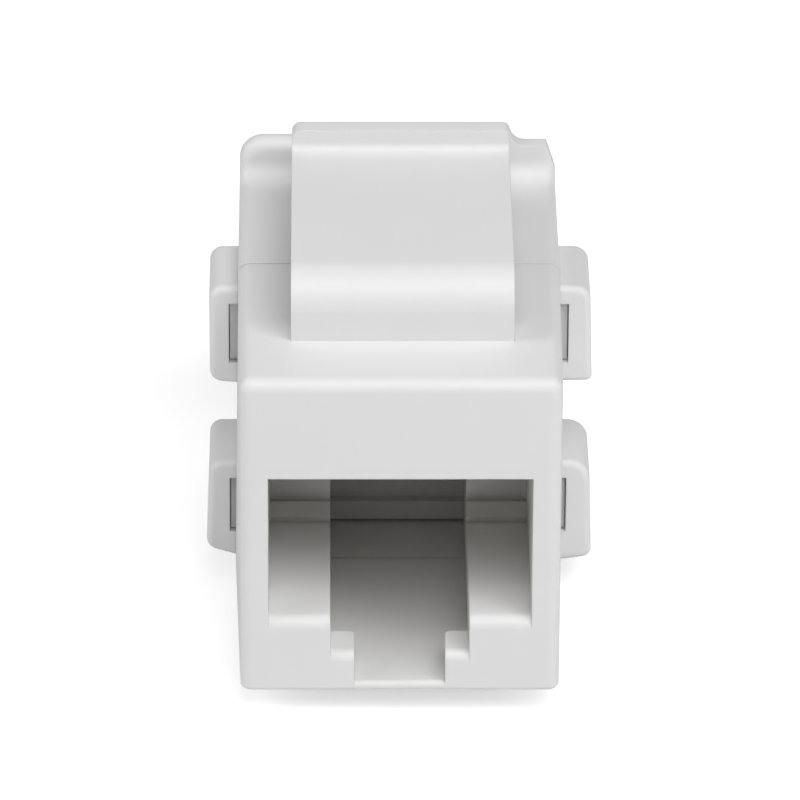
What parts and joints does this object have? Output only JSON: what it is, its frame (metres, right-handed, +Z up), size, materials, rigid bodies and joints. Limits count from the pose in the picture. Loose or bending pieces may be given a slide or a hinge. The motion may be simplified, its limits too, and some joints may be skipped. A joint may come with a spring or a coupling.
{
  "type": "keystone jack",
  "caption": "Snap-in keystone jack with a modular plug port, a flexible latch arm on top, side ears that hold a wire cap, and a rear cable entry.",
  "frame": {"origin": "centre of the plug port on the front face", "axes": "+X to the right seen from the front, +Y into the body towards the cable entry, +Z up towards the latch arm"},
  "size_m": [0.0182, 0.0301, 0.0217],
  "materials": {
    "housing": "white moulded plastic with a fine satin surface",
    "insert": "white moulded plastic",
    "gold": "gold-plated spring wire",
    "board": "green lacquered circuit board",
    "tin": "tinned bronze blades"
  },
  "bodies": {
    "root": {"front_housing": "housing", "rear_housing": "housing", "wire_cap": "housing", "contact_insert": "insert", "circuit_board": "board", "terminal_block": "insert", "contact_wire_1": "gold", "contact_wire_2": "gold", "contact_wire_3": "gold", "contact_wire_4": "gold", "contact_wire_5": "gold", "contact_wire_6": "gold", "contact_wire_7": "gold", "contact_wire_8": "gold", "idc_terminal_1": "tin", "idc_terminal_2": "tin", "idc_terminal_3": "tin", "idc_terminal_4": "tin", "idc_terminal_5": "tin", "idc_terminal_6": "tin", "idc_terminal_7": "tin", "idc_terminal_8": "tin"}
  },
  "joints": []
}
